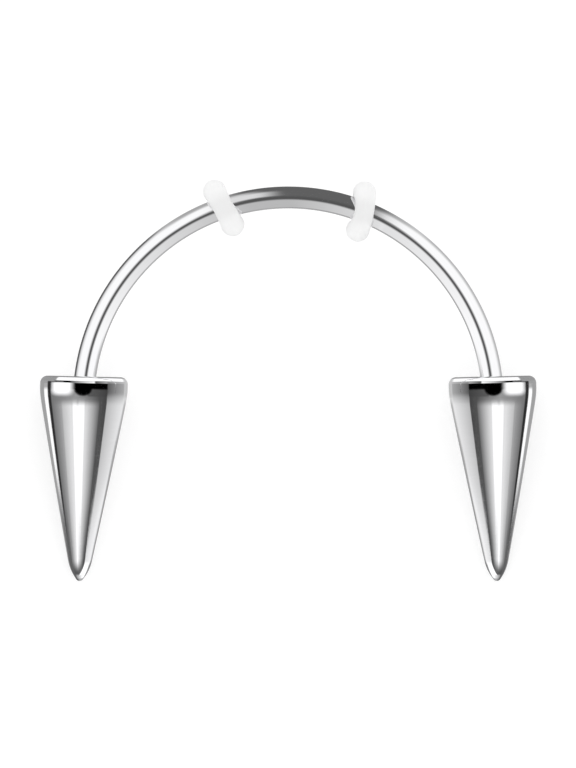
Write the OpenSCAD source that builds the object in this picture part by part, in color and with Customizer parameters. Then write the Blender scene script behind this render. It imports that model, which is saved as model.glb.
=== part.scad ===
// Horseshoe barbell lip ring: a curved bar, a long cone spike screwed on each end
// and two soft stopper rings that hold the bar's middle in place.
//
// The ring is drawn in its own plane first: the centre of the bar's curve is the
// origin, X runs from the left spike to the right one and Y runs up to the top of
// the curve. lying_down() then tips it so that both cones lie on the surface z = 0,
// with the origin under the middle of the whole ring. Sizes are in millimetres.

/* [Bar] */
// Thickness of the round bar
wire_d = 1.2; // [1.0:0.1:1.6]
// Radius of the curve, measured to the middle of the bar
arc_r = 11.2; // [9:0.1:14]

/* [Screw ends] */
// How much slimmer than the bar the pin at its end is, on each side
pin_step = 0.1; // [0.05:0.05:0.2]
// Length of the pin past the end of the bar
pin_len = 2.2; // [1.5:0.1:4]
// Length and depth of the bevel at the pin's free end
pin_bevel = 0.12; // [0.05:0.01:0.2]

/* [Spikes] */
// Largest diameter of a spike, just under its flat top
spike_d = 4.8; // [4.6:0.1:6]
// Length of a spike from its flat top to its tip
spike_len = 11.2; // [9:0.1:11.8]
// Slope of the straight flank against the spike's own axis, in degrees
flank_angle = 10.85; // [9:0.05:11.4]
// How far each spike's tip leans outward, in degrees
spike_lean = 1.3; // [0.5:0.1:3]
// Height of the flat tops above the centre of the bar's curve
rim_height = 1.4; // [1:0.1:2.5]
// Radius of the rounded edge of the flat top
rim_round = 0.4; // [0.2:0.05:0.5]
// Distance from the flat top to the spike's widest place
widest_at = 0.6; // [0.5:0.05:1]
// Radius of the bulge that leads from the widest place into the flank
shoulder_r = 4.0; // [3:0.1:6]
// Radius of the curve that leads from the flank into the tip
nose_r = 2.45; // [1.5:0.05:3]
// Radius of the rounded tip
tip_r = 0.22; // [0.15:0.01:0.3]

/* [Sockets] */
// Least free space round the bar where it enters a spike
socket_gap = 0.05; // [0.03:0.01:0.2]
// Free space round the pin in its hole
pin_gap = 0.03; // [0.02:0.01:0.08]
// Free space between the bar's end and the step that it seats on
seat_gap = 0.03; // [0.02:0.01:0.1]
// Free space past the pin's end
end_gap = 0.15; // [0.1:0.05:0.5]

/* [Stopper rings] */
// Outer diameter of a stopper ring
oring_d = 3.3; // [2.9:0.1:3.6]
// Thickness of its round cord
oring_cord = 1.24; // [1.1:0.02:1.3]
// Free space between the bar and a stopper ring at its middle
oring_gap = 0.04; // [0.03:0.01:0.08]
// Place of the left ring on the bar, in degrees from the top
left_place = 18.4; // [10:0.1:60]
// Place of the right ring on the bar, in degrees from the top
right_place = 21.8; // [10:0.1:60]
// How far the left ring stands askew on the bar, in degrees
left_skew = 10.1; // [0:0.1:14]
// How far the right ring stands askew on the bar, in degrees
right_skew = 11.5; // [0:0.1:14]

/* [Hidden] */
$fn = 96;
left = -1;
right = 1;
wire_r = wire_d / 2;
spike_r = spike_d / 2;

// The bar ends inside the sockets, where its curve has come in line with the spikes'
// axes. arc_drift is how far it still lies off the axis where it enters, and pin_root
// is how far back inside the bar each pin starts.
socket_depth = (rim_height - arc_r * sin(spike_lean)) / cos(spike_lean);
arc_drift = arc_r - sqrt(arc_r * arc_r - socket_depth * socket_depth);
rim_u = arc_r * cos(spike_lean) - socket_depth * sin(spike_lean);
pin_r = wire_r - pin_step;
pin_root = 0.4;
socket_r = wire_r + arc_drift + socket_gap;
hole_r = pin_r + pin_gap;
hole_depth = socket_depth + pin_len + end_gap;

// The spike's side is a chain of arcs and one straight line, each tangent to the next.
// cone_r is the radius that the straight flank would have at the flat top, and
// cone_len is the distance from there to the point of that full cone. The last three
// values are the number of steps along an arc.
cone_r = spike_r - shoulder_r + widest_at * tan(flank_angle) + shoulder_r / cos(flank_angle);
cone_len = cone_r / tan(flank_angle);
tip_at = spike_len - tip_r;
tip_inset = (cone_len - tip_at) * sin(flank_angle);
nose_run = sqrt(pow(nose_r - tip_r, 2) - pow(nose_r - tip_inset, 2));
nose_turn = flank_angle + atan2(nose_run, nose_r - tip_inset);
shoulder_steps = 4;
nose_steps = 6;
round_steps = 6;

// A stopper ring is a torus with the bar's hole cut through it.
cord_r = oring_cord / 2;
cord_at = oring_d / 2 - cord_r;
oring_hole_r = wire_r + oring_gap;

// Lying down, the flanks touch the surface, so the ring's plane is tipped about X.
tip_up = asin(sin(flank_angle) / cos(spike_lean));
lift = (cone_len * cos(spike_lean) - rim_height) * sin(tip_up);
tip_v = rim_height - tip_at * cos(spike_lean);
front_y = tip_v * cos(tip_up) - tip_r;
back_y = max(
    oring_back(left_place, left_skew + left_place),
    oring_back(right_place, right_skew - right_place),
    arc_r * cos(tip_up) + wire_r
);

// Points along an arc, whose angles are counted from straight out towards the tip
function arc(centre, radius, start, stop, steps) = [
    for (i = [0:steps])
    let (angle = start + (stop - start) * i / steps)
    centre + radius * [cos(angle), sin(angle)]
];

// How far back a stopper ring reaches, from its place and its axis's turn in the plane
function oring_back(place, turn) =
    let (along = sin(turn) * cos(tip_up))
    arc_r * cos(place) * cos(tip_up) + cord_at * sqrt(1 - along * along) + cord_r;

// Tips the ring from its own plane onto the surface, centred on the origin
module lying_down() {
    translate([0, -(front_y + back_y) / 2, lift])
    rotate([tip_up, 0, 0])
    children();
}

// Puts what is drawn with its top at z = 0, pointing up Z, on the spike axis of a side
module on_spike_axis(side) {
    translate([side * rim_u, rim_height, 0])
    rotate([0, 0, side * spike_lean])
    rotate([90, 0, 0])
    children();
}

// A spike with its stepped blind socket. Its half outline, as distance from the axis
// and distance from the flat top, runs up out of the socket and down to the tip.
module spike() {
    socket_floor = socket_depth + seat_gap;
    nose_reach = nose_r - tip_r;
    nose_middle = [-nose_reach * cos(nose_turn), tip_at - nose_reach * sin(nose_turn)];
    rotate_extrude()
    polygon(concat(
        [[0, hole_depth], [hole_r, hole_depth], [hole_r, socket_floor]],
        [[socket_r, socket_floor], [socket_r, 0]],
        arc([spike_r - rim_round, rim_round], rim_round, -90, 0, round_steps),
        arc([spike_r - shoulder_r, widest_at], shoulder_r, 0, flank_angle, shoulder_steps),
        arc(nose_middle, nose_r, flank_angle, nose_turn, nose_steps),
        arc([0, tip_at], tip_r, nose_turn, 90, round_steps)
    ));
}

// The pin on one end of the bar, rooted a little way inside it
module pin(side) {
    on_spike_axis(side)
    translate([0, 0, socket_depth - pin_root]) {
        cylinder(r = pin_r, h = pin_root + pin_len - pin_bevel);
        translate([0, 0, pin_root + pin_len - pin_bevel])
        cylinder(r1 = pin_r, r2 = pin_r - pin_bevel, h = pin_bevel);
    }
}

// The curved bar from socket to socket, with both pins
module bar() {
    color("silver")
    lying_down() {
        rotate([0, 0, spike_lean])
        rotate_extrude(angle = 180 - 2 * spike_lean)
        translate([arc_r, 0])
        circle(wire_r);
        pin(left);
        pin(right);
    }
}

// A stopper ring on the bar, from its side, its place from the top and its skew
module oring(side, place, skew) {
    translate([side * arc_r * sin(place), arc_r * cos(place), 0])
    rotate([0, 0, -side * place])
    difference() {
        rotate([0, 0, skew])
        rotate([0, 90, 0])
        rotate_extrude()
        translate([cord_at, 0])
        circle(cord_r);
        rotate([0, 90, 0])
        cylinder(r = oring_hole_r, h = oring_d, center = true);
    }
}

module spike_left() {
    color("gainsboro")
    lying_down()
    on_spike_axis(left)
    spike();
}

module spike_right() {
    color("gainsboro")
    lying_down()
    on_spike_axis(right)
    spike();
}

module oring_left() {
    color("whitesmoke")
    lying_down()
    oring(left, left_place, left_skew);
}

module oring_right() {
    color("whitesmoke")
    lying_down()
    oring(right, right_place, right_skew);
}

bar();
spike_left();
spike_right();
oring_left();
oring_right();
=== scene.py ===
# Looks of the lip ring: polished steel bar and spikes, milky silicone stopper rings,
# a white floor, soft light, and tents of light that only the ring itself mirrors.
import math
from collections import namedtuple

import bpy
from mathutils import Matrix, Vector


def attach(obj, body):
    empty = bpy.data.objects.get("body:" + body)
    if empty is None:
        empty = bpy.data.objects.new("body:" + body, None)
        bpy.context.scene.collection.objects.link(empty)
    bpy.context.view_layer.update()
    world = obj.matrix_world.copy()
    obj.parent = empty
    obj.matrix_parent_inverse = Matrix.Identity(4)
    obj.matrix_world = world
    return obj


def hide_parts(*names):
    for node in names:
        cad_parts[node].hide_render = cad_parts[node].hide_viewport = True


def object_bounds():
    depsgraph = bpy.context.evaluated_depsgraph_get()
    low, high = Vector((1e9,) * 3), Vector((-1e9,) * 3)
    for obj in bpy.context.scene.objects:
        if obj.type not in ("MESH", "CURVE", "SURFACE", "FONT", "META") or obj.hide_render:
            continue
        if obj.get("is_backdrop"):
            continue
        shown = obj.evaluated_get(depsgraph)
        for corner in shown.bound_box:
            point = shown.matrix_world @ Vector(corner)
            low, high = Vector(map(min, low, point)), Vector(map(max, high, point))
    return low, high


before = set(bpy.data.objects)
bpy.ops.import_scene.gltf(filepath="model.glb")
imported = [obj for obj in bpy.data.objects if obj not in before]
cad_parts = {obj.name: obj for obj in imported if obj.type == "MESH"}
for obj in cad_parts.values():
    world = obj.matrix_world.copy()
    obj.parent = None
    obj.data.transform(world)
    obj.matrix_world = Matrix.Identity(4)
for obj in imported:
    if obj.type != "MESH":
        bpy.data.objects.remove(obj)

cad_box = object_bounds()

MM = 0.001
LEFT = -1
RIGHT = 1
QUARTER = math.pi / 2
DEGREES = 180 / math.pi

# Sizes of the ring, the same as the solids', in metres and radians
WIRE_R = 0.6 * MM
ARC_R = 11.2 * MM
PIN_R = 0.5 * MM
PIN_LEN = 2.2 * MM
PIN_BEVEL = 0.12 * MM
SPIKE_R = 2.4 * MM
SPIKE_LEN = 11.2 * MM
FLANK_ANGLE = math.radians(10.85)
LEAN = math.radians(1.3)
RIM_HEIGHT = 1.4 * MM
RIM_ROUND = 0.4 * MM
WIDEST_AT = 0.6 * MM
SHOULDER_R = 4.0 * MM
NOSE_R = 2.45 * MM
TIP_R = 0.22 * MM
SOCKET_GAP = 0.05 * MM
PIN_GAP = 0.03 * MM
SEAT_GAP = 0.03 * MM
END_GAP = 0.15 * MM
RING_R = 1.03 * MM
CORD_R = 0.62 * MM

# Fine shape that the solids don't have. The flank turns out of the shoulder more slowly
# than theirs, swells a little, and meets the nose at a slope greater by FLANK_SWELL.
SHOULDER_END = math.radians(8.5)
EASE_R = 14.0 * MM
EASE_END = math.radians(10.5)
FLANK_SWELL = math.radians(0.5)
EDGE_R = 0.03 * MM

# The thread on each pin starts after a neck as deep as its grooves and rises over the
# run-in. Its profile is a slope that is cut off flat at the root and at the crest.
THREAD_PITCH = 0.25 * MM
THREAD_DEPTH = 0.07 * MM
THREAD_NECK = 0.18 * MM
THREAD_RUN_IN = 0.2 * MM
THREAD_STEEPNESS = 2.6
THREAD_ROOT = 0.8

# A stopper ring's place on the bar is an angle from the top, and its skew is how far it
# stands askew. Its cord has the waist's share of its thickness in front of the bar and
# behind it, where it is stretched most. Its free lobes have LOBE_SHARE and are bent along
# the bar by its bend. SEAM_SPREAD is the square of an angle round the cord.
Stopper = namedtuple("Stopper", "side place skew waist bend")
LEFT_STOPPER = Stopper(LEFT, math.radians(18.4), math.radians(10.1), 0.91, 0.0)
RIGHT_STOPPER = Stopper(RIGHT, math.radians(21.8), math.radians(11.5), 0.85, -0.17 * MM)
LOBE_SHARE = 1.04
STOPPER_GAP = 0.03 * MM
LIP_R = 0.04 * MM
SEAM_HEIGHT = 0.012 * MM
SEAM_SPREAD = 0.004

# Values that follow from them
SOCKET_DEPTH = (RIM_HEIGHT - ARC_R * math.sin(LEAN)) / math.cos(LEAN)
ARC_DRIFT = ARC_R - math.sqrt(ARC_R ** 2 - SOCKET_DEPTH ** 2)
RIM_U = ARC_R * math.cos(LEAN) - SOCKET_DEPTH * math.sin(LEAN)
SOCKET_R = WIRE_R + ARC_DRIFT + SOCKET_GAP
HOLE_R = PIN_R + PIN_GAP
HOLE_DEPTH = SOCKET_DEPTH + PIN_LEN + END_GAP
WIDER_AT_TOP = WIDEST_AT * math.tan(FLANK_ANGLE)
CONE_R = SPIKE_R - SHOULDER_R + WIDER_AT_TOP + SHOULDER_R / math.cos(FLANK_ANGLE)
CONE_LEN = CONE_R / math.tan(FLANK_ANGLE)
TIP_AT = SPIKE_LEN - TIP_R
TIP_INSET = (CONE_LEN - TIP_AT) * math.sin(FLANK_ANGLE)
NOSE_RUN = math.sqrt((NOSE_R - TIP_R) ** 2 - (NOSE_R - TIP_INSET) ** 2)
NOSE_TURN = FLANK_ANGLE + math.atan2(NOSE_RUN, NOSE_R - TIP_INSET)
TIP_UP = math.asin(math.sin(FLANK_ANGLE) / math.cos(LEAN))
LIFT = (CONE_LEN * math.cos(LEAN) - RIM_HEIGHT) * math.sin(TIP_UP)

# The ring's own plane: its X, its Y and the way that it faces, and its centre, which
# lies so far back that the tips come to the front of the frame's box
ACROSS = Vector((1, 0, 0))
UPWARD = Vector((0, math.cos(TIP_UP), math.sin(TIP_UP)))
FACING = Vector((0, -math.sin(TIP_UP), math.cos(TIP_UP)))
TIP_V = RIM_HEIGHT - TIP_AT * math.cos(LEAN)
CENTRE = Vector((0, cad_box[0].y + TIP_R - TIP_V * math.cos(TIP_UP), LIFT))

# Camera: straight in front of the ring's plane, as in the photo. PIXEL is what a pixel
# spans there, CENTRE_PIXEL is where the centre shows, and SENSOR is in millimetres.
PHOTO_SIZE = (576, 768)
PIXEL = 0.05475 * MM
CENTRE_PIXEL = (288.2, 402.0)
CAMERA_DISTANCE = 0.5
CAMERA_REACH = (0.01, 10.0)
SENSOR = 36.0


def in_plane(u, v, w=0.0):
    """The place in the frame of a point given in the ring's own plane."""
    return CENTRE + ACROSS * u + UPWARD * v + FACING * w


def axes_matrix(x_axis, y_axis, z_axis, origin):
    """The matrix of an object whose local axes and origin lie there."""
    matrix = Matrix.Identity(4)
    for column, axis in enumerate((x_axis, y_axis, z_axis, origin)):
        for row in range(3):
            matrix[row][column] = axis[row]
    return matrix


def make_camera():
    width, height = PHOTO_SIZE
    aim_u = (width / 2 - CENTRE_PIXEL[0]) * PIXEL
    aim_v = (CENTRE_PIXEL[1] - height / 2) * PIXEL
    data = bpy.data.cameras.new("camera")
    data.sensor_width = SENSOR
    data.lens = SENSOR * CAMERA_DISTANCE / (height * PIXEL)
    data.clip_start, data.clip_end = CAMERA_REACH
    camera = bpy.data.objects.new("camera", data)
    bpy.context.scene.collection.objects.link(camera)
    camera.matrix_world = axes_matrix(
        ACROSS, UPWARD, FACING, in_plane(aim_u, aim_v, CAMERA_DISTANCE)
    )
    bpy.context.scene.camera = camera


make_camera()
bpy.context.scene.view_settings.view_transform = "Standard"


# Meshes

def mesh_from(name, points, faces, coords):
    """A smooth piece. coords holds each face corner's place on the finish, in mm."""
    mesh = bpy.data.meshes.new(name)
    mesh.from_pydata([tuple(p) for p in points], [], faces)
    layer = mesh.uv_layers.new(name="finish")
    layer.data.foreach_set("uv", [value for pair in coords for value in pair])
    mesh.polygons.foreach_set("use_smooth", [True] * len(mesh.polygons))
    mesh.validate()
    mesh.update()
    piece = bpy.data.objects.new(name, mesh)
    bpy.context.scene.collection.objects.link(piece)
    return piece


def skin_mesh(name, rings, lengths):
    """A smooth piece over rings of points, closed at both ends by a fan round a middle
    point. lengths holds, for each ring, the mm along the piece and once around it."""
    around = len(rings[0])
    points = [p for ring in rings for p in ring]
    faces = []
    coords = []
    for row in range(len(rings) - 1):
        low, high = lengths[row], lengths[row + 1]
        for i in range(around):
            j = (i + 1) % around
            a, b = row * around, (row + 1) * around
            faces.append((a + i, a + j, b + j, b + i))
            left, right = i / around, (i + 1) / around
            coords += [
                (left * low[1], low[0]),
                (right * low[1], low[0]),
                (right * high[1], high[0]),
                (left * high[1], high[0]),
            ]
    for row, flip in ((0, True), (len(rings) - 1, False)):
        points.append(sum((Vector(p) for p in rings[row]), Vector()) / around)
        pole = len(points) - 1
        length, girth = lengths[row]
        for i in range(around):
            j = (i + 1) % around
            a, b = row * around + i, row * around + j
            faces.append((b, a, pole) if flip else (a, b, pole))
            near = [(j * girth / around, length), (i * girth / around, length)]
            coords += (near if flip else near[::-1]) + [(i * girth / around, length)]
    return mesh_from(name, points, faces, coords)


def arc(centre, radius, start, stop, steps):
    """Points along an arc; angles count from straight out towards the tip."""
    return [
        (
            centre[0] + radius * math.cos(start + (stop - start) * i / steps),
            centre[1] + radius * math.sin(start + (stop - start) * i / steps),
        )
        for i in range(steps + 1)
    ]


def line(start, stop, steps):
    """Points along a straight line, both ends included."""
    return [
        tuple(a + (b - a) * i / steps for a, b in zip(start, stop))
        for i in range(steps + 1)
    ]


def sweep(start, start_slope, stop, stop_slope, steps):
    """Points along a smooth curve that leaves one place and reaches another at the two
    slopes, counted from straight along the spike."""
    span = math.dist(start, stop)
    heads = [
        (-math.sin(slope) * span, math.cos(slope) * span) for slope in (start_slope, stop_slope)
    ]
    points = []
    for i in range(steps + 1):
        t = i / steps
        near, far = (1 - t) ** 2 * (1 + 2 * t), t ** 2 * (3 - 2 * t)
        leave, reach = t * (1 - t) ** 2, t ** 2 * (t - 1)
        points.append(
            tuple(
                near * start[k] + far * stop[k] + leave * heads[0][k] + reach * heads[1][k]
                for k in range(2)
            )
        )
    return points


def without_repeats(outline):
    """The outline with each point that repeats the one before it left out."""
    same_place = 1e-7
    kept = [outline[0]]
    for point in outline[1:]:
        if math.dist(point, kept[-1]) > same_place:
            kept.append(point)
    return kept


def socket_outline():
    """The half outline of a spike's socket, from the bottom of the pin's hole over the
    seat for the bar's end to the flat top."""
    seat = SOCKET_DEPTH + SEAT_GAP
    outline = line((EDGE_R, HOLE_DEPTH), (HOLE_R - EDGE_R, HOLE_DEPTH), steps=6)
    outline += arc((HOLE_R - EDGE_R, HOLE_DEPTH - EDGE_R), EDGE_R, QUARTER, 0, steps=4)
    outline += line((HOLE_R, HOLE_DEPTH - EDGE_R), (HOLE_R, seat + EDGE_R), steps=24)
    outline += arc((HOLE_R + EDGE_R, seat + EDGE_R), EDGE_R, math.pi, 3 * QUARTER, steps=4)
    outline += line((HOLE_R + EDGE_R, seat), (SOCKET_R - EDGE_R, seat), steps=6)
    outline += arc((SOCKET_R - EDGE_R, seat - EDGE_R), EDGE_R, QUARTER, 0, steps=4)
    outline += line((SOCKET_R, seat - EDGE_R), (SOCKET_R, EDGE_R), steps=16)
    outline += arc((SOCKET_R + EDGE_R, EDGE_R), EDGE_R, math.pi, 3 * QUARTER, steps=6)
    return outline


def flank_outline():
    """The half outline of a spike's side, from its widest place to the tip's own arc."""
    shoulder_middle = (SPIKE_R - SHOULDER_R, WIDEST_AT)
    ease_middle = (
        shoulder_middle[0] - (EASE_R - SHOULDER_R) * math.cos(SHOULDER_END),
        shoulder_middle[1] - (EASE_R - SHOULDER_R) * math.sin(SHOULDER_END),
    )
    nose_reach = NOSE_R - TIP_R
    nose_middle = (
        -nose_reach * math.cos(NOSE_TURN),
        TIP_AT - nose_reach * math.sin(NOSE_TURN),
    )
    nose_start = FLANK_ANGLE + FLANK_SWELL
    shoulder = arc(shoulder_middle, SHOULDER_R, 0, SHOULDER_END, steps=20)
    shoulder += arc(ease_middle, EASE_R, SHOULDER_END, EASE_END, steps=16)
    nose = arc(nose_middle, NOSE_R, nose_start, NOSE_TURN, steps=44)
    return shoulder + sweep(shoulder[-1], EASE_END, nose[0], nose_start, steps=80) + nose


def spike_outline():
    """The spike's half outline, as distance from the axis and from the flat top, from
    the bottom of its socket over the rim almost to the tip."""
    tip_end = 0.985 * QUARTER
    outline = socket_outline()
    outline += line((SOCKET_R + EDGE_R, 0), (SPIKE_R - RIM_ROUND, 0), steps=16)
    outline += arc((SPIKE_R - RIM_ROUND, RIM_ROUND), RIM_ROUND, -QUARTER, 0, steps=36)
    outline += line((SPIKE_R, RIM_ROUND), (SPIKE_R, WIDEST_AT), steps=6)
    outline += flank_outline()
    outline += arc((0, TIP_AT), TIP_R, NOSE_TURN, tip_end, steps=24)
    return without_repeats(outline)


def spike_frame(side):
    """The middle of a spike's flat top, and its axes: across, which points to the ring's
    inner side, and towards the bar's top."""
    inward = (ACROSS * math.cos(LEAN) + UPWARD * side * math.sin(LEAN)) * -side
    towards_bar = UPWARD * math.cos(LEAN) - ACROSS * side * math.sin(LEAN)
    return in_plane(side * RIM_U, RIM_HEIGHT), inward, towards_bar


def make_spike(name, side):
    segments = 224
    girth = 2 * math.pi * SPIKE_R / MM
    origin, inward, towards_bar = spike_frame(side)
    rings = []
    lengths = []
    run = 0.0
    before = None
    for radius, depth in spike_outline():
        ring = []
        for i in range(segments):
            turn = -side * 2 * math.pi * i / segments
            out = inward * math.cos(turn) + FACING * math.sin(turn)
            ring.append(origin + out * radius - towards_bar * depth)
        if before:
            run += math.dist(before, (radius, depth))
        before = (radius, depth)
        rings.append(ring)
        lengths.append((run / MM, girth))
    return skin_mesh(name, rings, lengths)


def clamped(value):
    return min(1.0, max(0.0, value))


def thread_radius(along, turn):
    """The pin's radius at a place along it from the bar's end and a turn around it: a
    smooth neck, then a fine thread whose crests reach the full radius."""
    share = (along / THREAD_PITCH - turn / (2 * math.pi)) % 1.0
    crest = clamped(THREAD_STEEPNESS * abs(2 * share - 1) - THREAD_ROOT)
    risen = clamped((along - THREAD_NECK) / THREAD_RUN_IN)
    return PIN_R - THREAD_DEPTH * (1 - crest * risen)


def plain(radius):
    """A radius that is the same all round, as a function of the turn."""
    return lambda turn: radius


def threaded(along, most=PIN_R):
    """The thread's radius at a place along the pin, or the most where that is less, as a
    function of the turn."""
    return lambda turn: min(thread_radius(along, turn), most)


def bar_end_stations():
    """Stations from the bar's end to the pin's tip, as distance from the bar's end and
    a function of the turn that gives the radius."""
    bevel_steps = 4
    thread_steps = 96
    fillet = 0.02 * MM
    fillet_support = 0.05 * MM
    end_face_shares = (0.8, 0.4)
    root = PIN_R - THREAD_DEPTH
    thread_end = PIN_LEN - PIN_BEVEL
    stations = []
    for i in range(bevel_steps + 1):
        angle = QUARTER * i / bevel_steps
        radius = WIRE_R - EDGE_R + EDGE_R * math.cos(angle)
        stations.append((-EDGE_R + EDGE_R * math.sin(angle), plain(radius)))
    stations.append((0.0, plain(root + fillet_support)))
    stations.append((0.0, plain(root + fillet)))
    stations.append((fillet, plain(root)))
    for i in range(1, thread_steps + 1):
        along = thread_end * i / thread_steps
        stations.append((along, threaded(along)))
    for i in range(1, bevel_steps + 1):
        along = thread_end + PIN_BEVEL * i / bevel_steps
        stations.append((along, threaded(along, PIN_R - PIN_BEVEL * i / bevel_steps)))
    for share in end_face_shares:
        stations.append((PIN_LEN, plain((PIN_R - PIN_BEVEL) * share)))
    return stations


def make_bar():
    segments = 72
    arc_steps = 420
    girth = 2 * math.pi * WIRE_R / MM
    rings = []
    lengths = []

    def add_ring(angle, forward, radius_at, length, side=RIGHT):
        """One ring of points round a place on the curve, moved forward. The two pins point
        opposite ways along the bar, so the left pin's turn counts the other way round,
        which makes both threads right-handed."""
        outward = ACROSS * math.cos(angle) + UPWARD * math.sin(angle)
        centre = in_plane(ARC_R * math.cos(angle), ARC_R * math.sin(angle))
        ring = []
        for i in range(segments):
            turn = -2 * math.pi * i / segments
            out = outward * math.cos(turn) + FACING * math.sin(turn)
            ring.append(centre + out * radius_at(side * turn) + forward)
        rings.append(ring)
        lengths.append((length / MM, girth))

    first, last = LEAN, math.pi - LEAN
    stations = bar_end_stations()
    down = ACROSS * math.sin(first) - UPWARD * math.cos(first)
    for along, radius_at in reversed(stations):
        add_ring(first, down * along, radius_at, -along)
    for i in range(1, arc_steps):
        angle = first + (last - first) * i / arc_steps
        add_ring(angle, Vector(), plain(WIRE_R), ARC_R * (angle - first))
    down = -ACROSS * math.sin(first) - UPWARD * math.cos(first)
    for along, radius_at in stations:
        add_ring(last, down * along, radius_at, ARC_R * (last - first) + along, LEFT)
    return skin_mesh("bar_polished", rings, lengths)


def pushed_off_bar(point):
    """A point of a soft ring in the plane's own coordinates, pushed out to the bar's
    surface where the ring would reach into it, with a soft lip beside it."""
    u, v, w = point
    run = math.hypot(u, v)
    on_curve = Vector((u / run * ARC_R, v / run * ARC_R, 0))
    offset = Vector(point) - on_curve
    distance = offset.length
    least = WIRE_R + STOPPER_GAP
    soft = least + LIP_R * math.log1p(math.exp((distance - least) / LIP_R))
    return on_curve + offset * (soft / distance)


def make_ring(name, stopper):
    """A soft ring with a faint mould seam round its outside."""
    around = 240
    across = 120
    angle = QUARTER - stopper.side * stopper.place
    middle = Vector((ARC_R * math.cos(angle), ARC_R * math.sin(angle), 0))
    axis_turn = -stopper.side * stopper.place + stopper.skew
    axis = Vector((math.cos(axis_turn), math.sin(axis_turn), 0))
    out = Vector((-math.sin(axis_turn), math.cos(axis_turn), 0))
    face = Vector((0, 0, 1))
    points = []
    for i in range(around):
        turn = 2 * math.pi * i / around
        spoke = out * math.cos(turn) + face * math.sin(turn)
        free = math.cos(turn) ** 2
        thick = CORD_R * (stopper.waist + (LOBE_SHARE - stopper.waist) * free)
        for j in range(across):
            roll = 2 * math.pi * j / across
            off_seam = min(roll, 2 * math.pi - roll)
            radius = thick + SEAM_HEIGHT * math.exp(-off_seam ** 2 / SEAM_SPREAD)
            aside = stopper.bend * free + radius * math.sin(roll)
            point = middle + spoke * (RING_R + radius * math.cos(roll)) + axis * aside
            points.append(in_plane(*pushed_off_bar(point)))
    length = 2 * math.pi * RING_R / MM
    girth = 2 * math.pi * CORD_R / MM
    faces = []
    coords = []
    for i in range(around):
        a, b = i * across, (i + 1) % around * across
        left, right = length * i / around, length * (i + 1) / around
        for j in range(across):
            k = (j + 1) % across
            faces.append((a + j, b + j, b + k, a + k))
            low, high = girth * j / across, girth * (j + 1) / across
            coords += [(low, left), (low, right), (high, right), (high, left)]
    return mesh_from(name, points, faces, coords)


# Materials

# Most of a noise's values lie in this range
NOISE_RANGE = (0.3, 0.7)


class Nodes:
    """A material's or world's node tree, with short calls for the nodes used here."""

    def __init__(self, owner):
        owner.use_nodes = True
        self.tree = owner.node_tree
        self.tree.nodes.clear()

    def add(self, kind, **settings):
        node = self.tree.nodes.new(kind)
        for name, value in settings.items():
            setattr(node, name, value)
        return node

    def put(self, value, socket):
        if isinstance(value, bpy.types.NodeSocket):
            self.tree.links.new(value, socket)
        else:
            socket.default_value = value

    def math(self, operation, a, b=0.0):
        node = self.add("ShaderNodeMath", operation=operation)
        self.put(a, node.inputs[0])
        self.put(b, node.inputs[1])
        return node.outputs[0]

    def vector_math(self, operation, a, b=(0, 0, 0)):
        node = self.add("ShaderNodeVectorMath", operation=operation)
        self.put(a, node.inputs[0])
        self.put(b, node.inputs[1])
        return node.outputs[0]

    def split(self, vector):
        """The X, Y and Z of a vector."""
        node = self.add("ShaderNodeSeparateXYZ")
        self.put(vector, node.inputs[0])
        return node.outputs

    def spread(self, value, low, high, to_low=0.0, to_high=1.0, smooth=False, clamp=True):
        kind = "SMOOTHSTEP" if smooth else "LINEAR"
        node = self.add("ShaderNodeMapRange", interpolation_type=kind, clamp=clamp)
        for socket, number in zip(node.inputs, (value, low, high, to_low, to_high)):
            self.put(number, socket)
        return node.outputs[0]

    # A Mix node holds the sockets of every kind of data. 2 and 3 are its numbers, and 6
    # and 7 its colours, whose result is output 2.
    def blend(self, share, a, b):
        node = self.add("ShaderNodeMix", data_type="FLOAT")
        self.put(share, node.inputs[0])
        self.put(a, node.inputs[2])
        self.put(b, node.inputs[3])
        return node.outputs[0]

    def blend_colour(self, share, a, b):
        node = self.add("ShaderNodeMix", data_type="RGBA")
        self.put(share, node.inputs[0])
        self.put(a, node.inputs[6])
        self.put(b, node.inputs[7])
        return node.outputs[2]

    def noise(self, place, stretch, detail):
        mapping = self.add("ShaderNodeMapping")
        self.put(place, mapping.inputs["Vector"])
        mapping.inputs["Scale"].default_value = stretch
        node = self.add("ShaderNodeTexNoise")
        self.put(mapping.outputs[0], node.inputs["Vector"])
        node.inputs["Scale"].default_value = 1.0
        node.inputs["Detail"].default_value = detail
        return node.outputs[0]

    def finish_place(self):
        return self.add("ShaderNodeUVMap", uv_map="finish").outputs[0]

    def object_place(self):
        return self.add("ShaderNodeTexCoord").outputs["Object"]

    def bump(self, height, distance, strength):
        node = self.add("ShaderNodeBump")
        self.put(height, node.inputs["Height"])
        node.inputs["Distance"].default_value = distance
        node.inputs["Strength"].default_value = strength
        return node.outputs[0]

    def sum_of(self, first, second):
        """A shader that adds up two others."""
        node = self.add("ShaderNodeAddShader")
        self.put(first.outputs[0], node.inputs[0])
        self.put(second.outputs[0], node.inputs[1])
        return node

    def surface(self, shader):
        output = self.add("ShaderNodeOutputMaterial")
        self.tree.links.new(shader.outputs[0], output.inputs[0])


def opaque(colour, share=1.0):
    """A share of a colour's brightness, with the fourth number that a socket asks for."""
    return tuple(share * c for c in colour) + (1.0,)


# Where the bar goes into its spikes its colour is darker, a painted shade of the sockets,
# and its threads are darker and dull. start and stop are how far, in mm, each begins before
# the bar's end and is whole.
ShadeAndDullBand = namedtuple("ShadeAndDullBand", "start stop grey roughness")
SOCKET_SHADE = ShadeAndDullBand(SOCKET_DEPTH / MM, SOCKET_DEPTH / MM - 0.4, 0.45, 0.04)
ON_THREAD = ShadeAndDullBand(0.05, 0.0, 0.38, 0.1)


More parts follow.
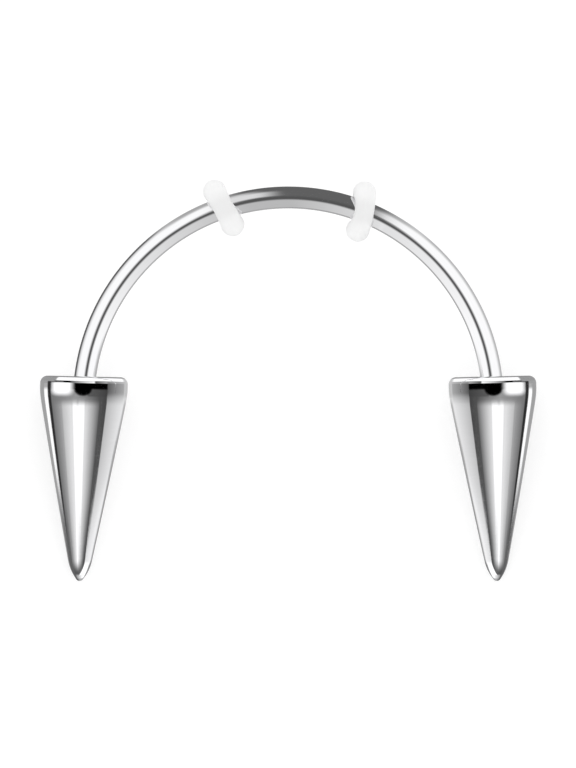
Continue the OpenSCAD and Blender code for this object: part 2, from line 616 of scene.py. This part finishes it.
def steel(name, base, line_stretch, polished=None):
    """Polished steel with faint polishing lines and a hardly visible bloom. polished is
    the bar's length between its two pins, in metres, and isn't given for the spikes."""
    line_share = 0.955
    line_height = 0.0000006
    line_strength = 0.35
    line_roughness = 0.012
    cloud_scale = 900.0
    cloud_range = (0.35, 0.7)
    cloud_roughness = 0.02
    plain_roughness = 0.05
    material = bpy.data.materials.new(name)
    nodes = Nodes(material)
    place = nodes.finish_place()
    lines = nodes.noise(place, line_stretch, detail=4.0)
    cloud = nodes.noise(nodes.object_place(), (cloud_scale,) * 3, detail=3.0)
    tone = nodes.spread(lines, *NOISE_RANGE)
    colour = nodes.blend_colour(tone, opaque(base, line_share), opaque(base))
    grain = nodes.spread(lines, *NOISE_RANGE, -line_roughness, line_roughness)
    bloom = nodes.spread(cloud, *cloud_range, 0.0, cloud_roughness)
    roughness = nodes.math("ADD", nodes.math("ADD", grain, bloom), plain_roughness)
    if polished:
        half = polished / MM / 2
        along = nodes.split(place)[1]
        away = nodes.math("ABSOLUTE", nodes.math("SUBTRACT", along, half))
        # The socket band paints shade into the bar's colour. The thread band is the threads' own
        # dull, darker finish.
        for darkened_band in (SOCKET_SHADE, ON_THREAD):
            share = nodes.spread(away, half - darkened_band.start, half - darkened_band.stop)
            colour = nodes.blend_colour(share, colour, opaque((darkened_band.grey,) * 3))
            roughness = nodes.math("ADD", roughness, nodes.math("MULTIPLY", share, darkened_band.roughness))
    shader = nodes.add("ShaderNodeBsdfPrincipled")
    shader.inputs["Metallic"].default_value = 1.0
    nodes.put(colour, shader.inputs["Base Color"])
    nodes.put(roughness, shader.inputs["Roughness"])
    nodes.put(nodes.bump(lines, line_height, line_strength), shader.inputs["Normal"])
    nodes.surface(shader)
    return material


def silicone(name, base):
    """Milky silicone rubber: light spreads inside it, its skin is satin, and its colour is
    painted a little darker where it is stretched thin over the bar, as painted shade of
    the bar behind it."""
    milk_scale = 1400.0
    milk_share = 0.965
    over_bar_shade_share = 0.9
    half_way = math.pi * RING_R / MM
    thin_range = (half_way * 0.28, half_way * 0.44)
    skin_scale = 14000.0
    skin_height = 0.000004
    skin_strength = 0.3
    skin_roughness = (0.36, 0.48)
    material = bpy.data.materials.new(name)
    nodes = Nodes(material)
    place = nodes.object_place()
    milk = nodes.noise(place, (milk_scale,) * 3, detail=3.0)
    skin = nodes.noise(place, (skin_scale,) * 3, detail=2.0)
    tone = nodes.spread(milk, *NOISE_RANGE)
    mottled = nodes.blend_colour(tone, opaque(base, milk_share), opaque(base))
    # Painted shade: the colour is darkened where the cord crosses in front of and behind the bar,
    # stretched thin over it.
    turn = nodes.math("PINGPONG", nodes.split(nodes.finish_place())[1], half_way / 2)
    shade_over_bar = nodes.spread(turn, *thin_range, smooth=True)
    colour = nodes.blend_colour(shade_over_bar, mottled, opaque(base, over_bar_shade_share))
    shader = nodes.add("ShaderNodeBsdfPrincipled")
    shader.inputs["Subsurface Weight"].default_value = 0.85
    shader.inputs["Subsurface Radius"].default_value = (1.0, 1.0, 1.0)
    shader.inputs["Subsurface Scale"].default_value = 0.0004
    shader.inputs["IOR"].default_value = 1.41
    nodes.put(colour, shader.inputs["Base Color"])
    nodes.put(nodes.spread(milk, *NOISE_RANGE, *skin_roughness), shader.inputs["Roughness"])
    nodes.put(nodes.bump(skin, skin_height, skin_strength), shader.inputs["Normal"])
    nodes.surface(shader)
    return material


def dress(piece, node, body, material):
    piece.data.materials.append(material)
    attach(piece, body)
    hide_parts(node)
    return piece


# How fine the polishing lines are round a piece and along it, in changes for each mm.
# They run along the bar and round the spikes.
BAR_LINES = (55.0, 1.2, 1.0)
SPIKE_LINES = (0.5, 60.0, 1.0)

bar_length = ARC_R * (math.pi - 2 * LEAN)
bar_steel = steel("bar_steel", (0.86, 0.86, 0.87), BAR_LINES, bar_length)
spike_steel = steel("spike_steel", (0.87, 0.87, 0.88), SPIKE_LINES)
milky = silicone("silicone", (0.925, 0.925, 0.925))

bar = dress(make_bar(), "bar", "ring", bar_steel)
spike_left = dress(
    make_spike("spike_left_polished", LEFT),
    "spike_left", "left_spike", spike_steel
)
spike_right = dress(
    make_spike("spike_right_polished", RIGHT),
    "spike_right", "right_spike", spike_steel
)
ring_left = dress(
    make_ring("oring_left_soft", LEFT_STOPPER), "oring_left", "ring", milky
)
ring_right = dress(
    make_ring("oring_right_soft", RIGHT_STOPPER), "oring_right", "ring", milky
)


# Light

# Radius of each tent and its light where no card lies
FAR_TENT = 1.0
NEAR_TENT = 0.08
SPIKE_BACKDROP = 0.05
BAR_BACKDROP = 1.15
STOPPER_BACKDROP = 0.6

# A tent is lit by cards. A place on it is named by the slope of the surface that would
# mirror it to a viewer straight in front, so a card's edges are where its reflection's
# edges show. Each card covers what the cards before it show. Its light goes from
# light_left to light_right, and side_edge and end_edge are how wide its soft edges are.
# A side that is OPEN has no edge.
Card = namedtuple("Card", "left right side_edge low high end_edge light_left light_right")
OPEN = None

# A card with round corners, which is an ellipse where the power is 2
RoundCard = namedtuple("RoundCard", "across along half_across half_along power edge light")

# On a spike, left and right are shares of its half width, from -1 at its outer edge to 1
# at its inner edge, and low and high are the slope towards the bar's side, in degrees.
# The stripes between its outlines close round the tip.
SPIKE_STRIPES = (
    # the flank
    Card(-0.77, -0.53, 0.03, OPEN, OPEN, 1, 0.17, 0.42),
    Card(-0.53, -0.27, 0.08, OPEN, OPEN, 1, 0.6, 0.98),
    Card(-0.58, -0.28, 0.04, OPEN, -11.7, 0.6, 0.28, 1.0),
    Card(-0.27, 0.06, 0.1, OPEN, OPEN, 1, 1.35, 1.35),
    Card(0.05, 0.4, 0.05, OPEN, OPEN, 1, 0.95, 0.13),
    Card(-0.12, 0.38, 0.1, OPEN, -11.7, 0.6, 1.05, 0.08),
    Card(0.39, 0.56, 0.03, OPEN, OPEN, 1, 0.1, 0.06),
    Card(0.56, OPEN, 0.025, OPEN, OPEN, 1, 0.8, 0.8),
    Card(0.56, 1.3, 0.025, OPEN, OPEN, 1, 0.56, 1.3),
    Card(0.56, 1.3, 0.025, OPEN, -11.2, 0.8, 0.72, 1.0),
    Card(0.56, 1.3, 0.025, OPEN, -11.88, 0.5, 0.9, 1.1),
    # the tip
    Card(-0.77, 0.56, 0.03, OPEN, -18.5, 20, 0.1, 0.16),
    Card(0.57, OPEN, 0.04, OPEN, -15, 7, 1.3, 1.3),
    # the curve under the rim
    Card(-0.77, -0.11, 0.03, -9.55, 10, 2.0, 0.2, 0.37),
    Card(-0.15, 0.4, 0.03, -9.55, 10, 2.0, 0.36, 0.08),
    Card(0.55, 0.93, 0.03, -9.2, OPEN, 1.8, 0.33, 0.73),
    Card(0.535, 0.93, 0.03, -6, OPEN, 6, 0.1, 0.46),
    Card(0.93, OPEN, 0.05, -8.2, OPEN, 6.2, 0.6, 0.6),
    # the rim
    Card(-0.77, 0.55, 0.02, -1.5, 22, 1.5, 0.0, 0.0),
    Card(-0.77, -0.46, 0.04, 5, 22, 4, 0.07, 0.15),
    Card(-0.3, 0.28, 0.06, 5, 22, 4, 0.1, 1.2),
    Card(0.26, 0.56, 0.04, 5, 22, 4, 0.08, 0.5),
    Card(0.54, 1.0, 0.05, 7, OPEN, 6, 0.3, 0.66),
    Card(0.1, 0.55, 0.02, -7, -1.5, 1.5, 0.12, 0.06),
    RoundCard(-0.01, -1, 0.205, 5.6, 2.0, 0.3, 0.0),
    RoundCard(-0.49, 0.5, 0.2275, 6.2, 3.5, 0.75, 1.3),
    Card(-0.64, 0.92, 0.08, 24, OPEN, 4, 1.3, 1.3),
    Card(OPEN, -0.66, 0.08, 13, OPEN, 6, 0.36, 0.36),
    # the flat top
    Card(OPEN, OPEN, 1, 55, OPEN, 6, 0.3, 0.3),
)
SPIKE_OUTLINES = (
    # the outer side
    Card(OPEN, -0.82, 0.02, OPEN, 20, 6, 0.4, 0.4),
    Card(-0.9, -0.818, 0.03, OPEN, -1, 4, 1.25, 1.25),
    Card(-0.9, -0.818, 0.03, OPEN, -11.3, 0.6, 0.45, 0.45),
    Card(-0.818, -0.748, 0.025, OPEN, 15, 5, 0.03, 0.03),
    Card(-0.93, -0.64, 0.1, OPEN, -11.7, 0.4, 0.14, 0.14),
    # the inner side
    Card(0.955, OPEN, 0.03, OPEN, -9, 3, 0.5, 0.5),
    Card(0.93, OPEN, 0.04, OPEN, -11.3, 0.4, 0.42, 0.42),
    Card(0.87, OPEN, 0.06, OPEN, -13, 2, 0.33, 0.33),
    Card(0.82, OPEN, 0.12, OPEN, -17, 6, 0.25, 0.25),
    # round the tip
    Card(-0.6, 0.4, 0.2, OPEN, -32, 3, 0.3, 1.1),
    Card(-1, 0.2, 0.02, OPEN, -37.5, 3, 0.0, 0.5),
    Card(0.15, 1, 0.02, OPEN, -37.5, 3, 0.5, 0.42),
)

# How the stripes close round the tip. Their slopes, in degrees, are where they begin to
# be drawn in, where they begin to close and where they are closed. What lies further out
# than STILL_SIDE on the outer side stays where it is.
DRAWN_FROM = -11.2
CLOSING_FROM = -12.0
CLOSED_AT = -33.0
DRAWN_WIDTH = 0.82
EASE_POWER = 2.0
CLOSING_POWER = 0.65
STILL_SIDE = 0.2
LEAST_WIDTH = 0.01

# On the bar, left and right are degrees round the way that the ring faces, from the top
# towards the right spike, and low and high are shares of the bar's half thickness
BAR_CARDS = (
    # the bar's inner side
    Card(155, OPEN, 20, OPEN, OPEN, 1, 0.57, 0.57),
    Card(OPEN, -160, 20, OPEN, OPEN, 1, 0.57, 0.57),
    Card(110, 170, 4, OPEN, OPEN, 1, 1.13, 0.57),
    Card(-180, -152, 2, OPEN, OPEN, 1, 0.56, 0.88),
    Card(-152, -112, 2, OPEN, OPEN, 1, 0.88, 1.13),
    Card(100, OPEN, 20, 0.9, OPEN, 0.08, 0.45, 0.45),
    Card(OPEN, -100, 20, 0.9, OPEN, 0.08, 0.42, 0.42),
    # its outer edge
    Card(-100, 40, 20, 0.74, OPEN, 0.3, 0.55, 0.55),
    Card(38, 108, 10, 0.79, OPEN, 0.28, 0.5, 0.5),
    Card(-96, -38, 10, 0.82, OPEN, 0.12, 0.12, 0.12),
    # the dark top
    Card(-20, 30, 12, OPEN, OPEN, 1, 0.83, 0.83),
    Card(-34, 34, 10, 0.7, OPEN, 0.3, 0.45, 0.45),
    Card(-15, 27, 9, 0.76, OPEN, 0.12, 0.137, 0.137),
    Card(-10, 26, 9, 0.6, OPEN, 0.2, 0.137, 0.137),
    Card(-5, 25, 9, OPEN, OPEN, 1, 0.137, 0.137),
    Card(-22, 34, 24, OPEN, 0.22, 0.16, 0.12, 0.12),
    # the dark line along the middle
    Card(OPEN, OPEN, 1, OPEN, 0.13, 0.2, 0.1, 0.1),
)


def facing_slope(nodes):
    """The slope that mirrors a place on the tent to a viewer in front, as x, y and z."""
    ray = nodes.vector_math("NORMALIZE", nodes.object_place())
    return nodes.split(nodes.vector_math("NORMALIZE", nodes.vector_math("ADD", ray, (0, 0, 1))))


def length_of(nodes, a, b):
    squares = nodes.math("MULTIPLY", a, a), nodes.math("MULTIPLY", b, b)
    return nodes.math("SQRT", nodes.math("ADD", *squares))


def spike_chart(nodes):
    """A spike's share across and its slope in degrees, for a place on its tent."""
    x, y, z = facing_slope(nodes)
    across = nodes.math("DIVIDE", x, length_of(nodes, x, z))
    return across, nodes.math("MULTIPLY", nodes.math("ARCSINE", y), DEGREES)


def closing_chart(nodes):
    """As spike_chart, with the inner side drawn together towards the tip."""
    across, along = spike_chart(nodes)
    drawn = nodes.math("POWER", nodes.spread(along, DRAWN_FROM, CLOSING_FROM), EASE_POWER)
    close = nodes.math("POWER", nodes.spread(along, CLOSING_FROM, CLOSED_AT), EASE_POWER)
    left_open = nodes.math("POWER", nodes.math("SUBTRACT", 1.0, close), CLOSING_POWER)
    width = nodes.math("MULTIPLY", nodes.spread(drawn, 0, 1, 1, DRAWN_WIDTH), left_open)
    inner = nodes.math("MAXIMUM", nodes.math("ADD", across, STILL_SIDE), 0.0)
    widened = nodes.math("DIVIDE", inner, nodes.math("MAXIMUM", width, LEAST_WIDTH))
    return nodes.math("ADD", across, nodes.math("SUBTRACT", widened, inner)), along


def bar_chart(nodes):
    """The degrees round the ring and the share of the bar's half thickness."""
    x, y, _ = facing_slope(nodes)
    return nodes.math("MULTIPLY", nodes.math("ARCTAN2", x, y), DEGREES), length_of(nodes, x, y)


def round_card_share(nodes, across, along, card):
    """How much of a place lies on a round card, from 0 to 1, and the card's light."""
    parts = []
    for value, middle, half in (
        (across, card.across, card.half_across),
        (along, card.along, card.half_along),
    ):
        part = nodes.math("ABSOLUTE", nodes.spread(value, middle, middle + half, clamp=False))
        parts.append(nodes.math("POWER", part, card.power))
    reach = nodes.math("POWER", nodes.math("ADD", *parts), 1 / card.power)
    edge = card.edge / 2
    return nodes.spread(reach, 1 - edge, 1 + edge, 1, 0, smooth=True), card.light


def card_share(nodes, across, along, card):
    """How much of a place lies on a card, from 0 to 1, and the card's light there."""
    share = 1.0
    for value, at, edge, before, after in (
        (across, card.left, card.side_edge, 0, 1),
        (across, card.right, card.side_edge, 1, 0),
        (along, card.low, card.end_edge, 0, 1),
        (along, card.high, card.end_edge, 1, 0),
    ):
        if at is not OPEN:
            step = nodes.spread(value, at - edge / 2, at + edge / 2, before, after, smooth=True)
            share = nodes.math("MULTIPLY", share, step)
    light = card.light_left
    if card.light_left != card.light_right:
        light = nodes.spread(across, card.left, card.right, card.light_left, card.light_right)
    return share, light


def tent_material(name, backdrop, layers):
    """Clear, so that light passes through, with the glow of the backdrop and the cards."""
    material = bpy.data.materials.new(name)
    material.cycles.emission_sampling = "NONE"
    nodes = Nodes(material)
    light = backdrop
    for chart, cards in layers:
        across, along = chart(nodes)
        for card in cards:
            share_of = round_card_share if isinstance(card, RoundCard) else card_share
            share, level = share_of(nodes, across, along, card)
            light = nodes.blend(share, light, level)
    glow = nodes.add("ShaderNodeEmission")
    nodes.put(light, glow.inputs["Strength"])
    nodes.surface(nodes.sum_of(glow, nodes.add("ShaderNodeBsdfTransparent")))
    return material


def tent(name, receivers, matrix, radius, backdrop, *layers):
    """A wide shell of light round the part that only the receivers mirror."""
    bpy.ops.mesh.primitive_ico_sphere_add(subdivisions=3, radius=radius)
    shell = bpy.context.object
    shell.name = name
    shell.data.materials.append(tent_material(name, backdrop, layers))
    shell.matrix_world = matrix
    shell.visible_camera = False
    shell.visible_diffuse = False
    shell.visible_transmission = False
    shell.visible_volume_scatter = False
    shell.visible_shadow = False
    group = bpy.data.collections.new(name + "_receivers")
    for receiver in receivers:
        group.objects.link(receiver)
    shell.light_linking.receiver_collection = group
    shell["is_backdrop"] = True


# Nothing mirrors the spikes, because that would break up the other pieces' stripes
spike_layers = (closing_chart, SPIKE_STRIPES), (spike_chart, SPIKE_OUTLINES)
for tent_name, side, spike in (
    ("spike_tent_left", LEFT, spike_left),
    ("spike_tent_right", RIGHT, spike_right),
):
    origin, inward, towards_bar = spike_frame(side)
    spike_place = axes_matrix(inward, towards_bar, FACING, origin - towards_bar * SPIKE_LEN / 2)
    tent(tent_name, [spike], spike_place, FAR_TENT, SPIKE_BACKDROP, *spike_layers)
    spike.visible_glossy = False
ring_place = axes_matrix(ACROSS, UPWARD, FACING, CENTRE)
tent("bar_tent", [bar], ring_place, NEAR_TENT, BAR_BACKDROP, (bar_chart, BAR_CARDS))
tent("stopper_tent", [ring_left, ring_right], ring_place, FAR_TENT, STOPPER_BACKDROP)


def make_floor():
    """A white floor just under the ring, which glows a little so that it stays white."""
    half = 2.0
    clearance = 0.001 * MM
    corners = [(-half, -half, 0), (half, -half, 0), (half, half, 0), (-half, half, 0)]
    mesh = bpy.data.meshes.new("floor")
    mesh.from_pydata(corners, [], [(0, 1, 2, 3)])
    floor = bpy.data.objects.new("floor", mesh)
    bpy.context.scene.collection.objects.link(floor)
    floor.location.z = min(cad_box[0].z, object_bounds()[0].z) - clearance
    floor.visible_glossy = False
    material = bpy.data.materials.new("floor")
    nodes = Nodes(material)
    paper = nodes.add("ShaderNodeBsdfDiffuse")
    paper.inputs["Color"].default_value = (0.5, 0.5, 0.5, 1)
    glow = nodes.add("ShaderNodeEmission")
    glow.inputs["Strength"].default_value = 0.6
    nodes.surface(nodes.sum_of(paper, glow))
    mesh.materials.append(material)
    floor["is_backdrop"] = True


def make_world():
    """Even white light from all sides, which nothing mirrors."""
    world = bpy.data.worlds.new("studio")
    bpy.context.scene.world = world
    nodes = Nodes(world)
    background = nodes.add("ShaderNodeBackground")
    background.inputs["Color"].default_value = (1, 1, 1, 1)
    background.inputs["Strength"].default_value = 1.0
    output = nodes.add("ShaderNodeOutputWorld")
    nodes.put(background.outputs[0], output.inputs[0])
    world.cycles_visibility.glossy = False


make_floor()
make_world()
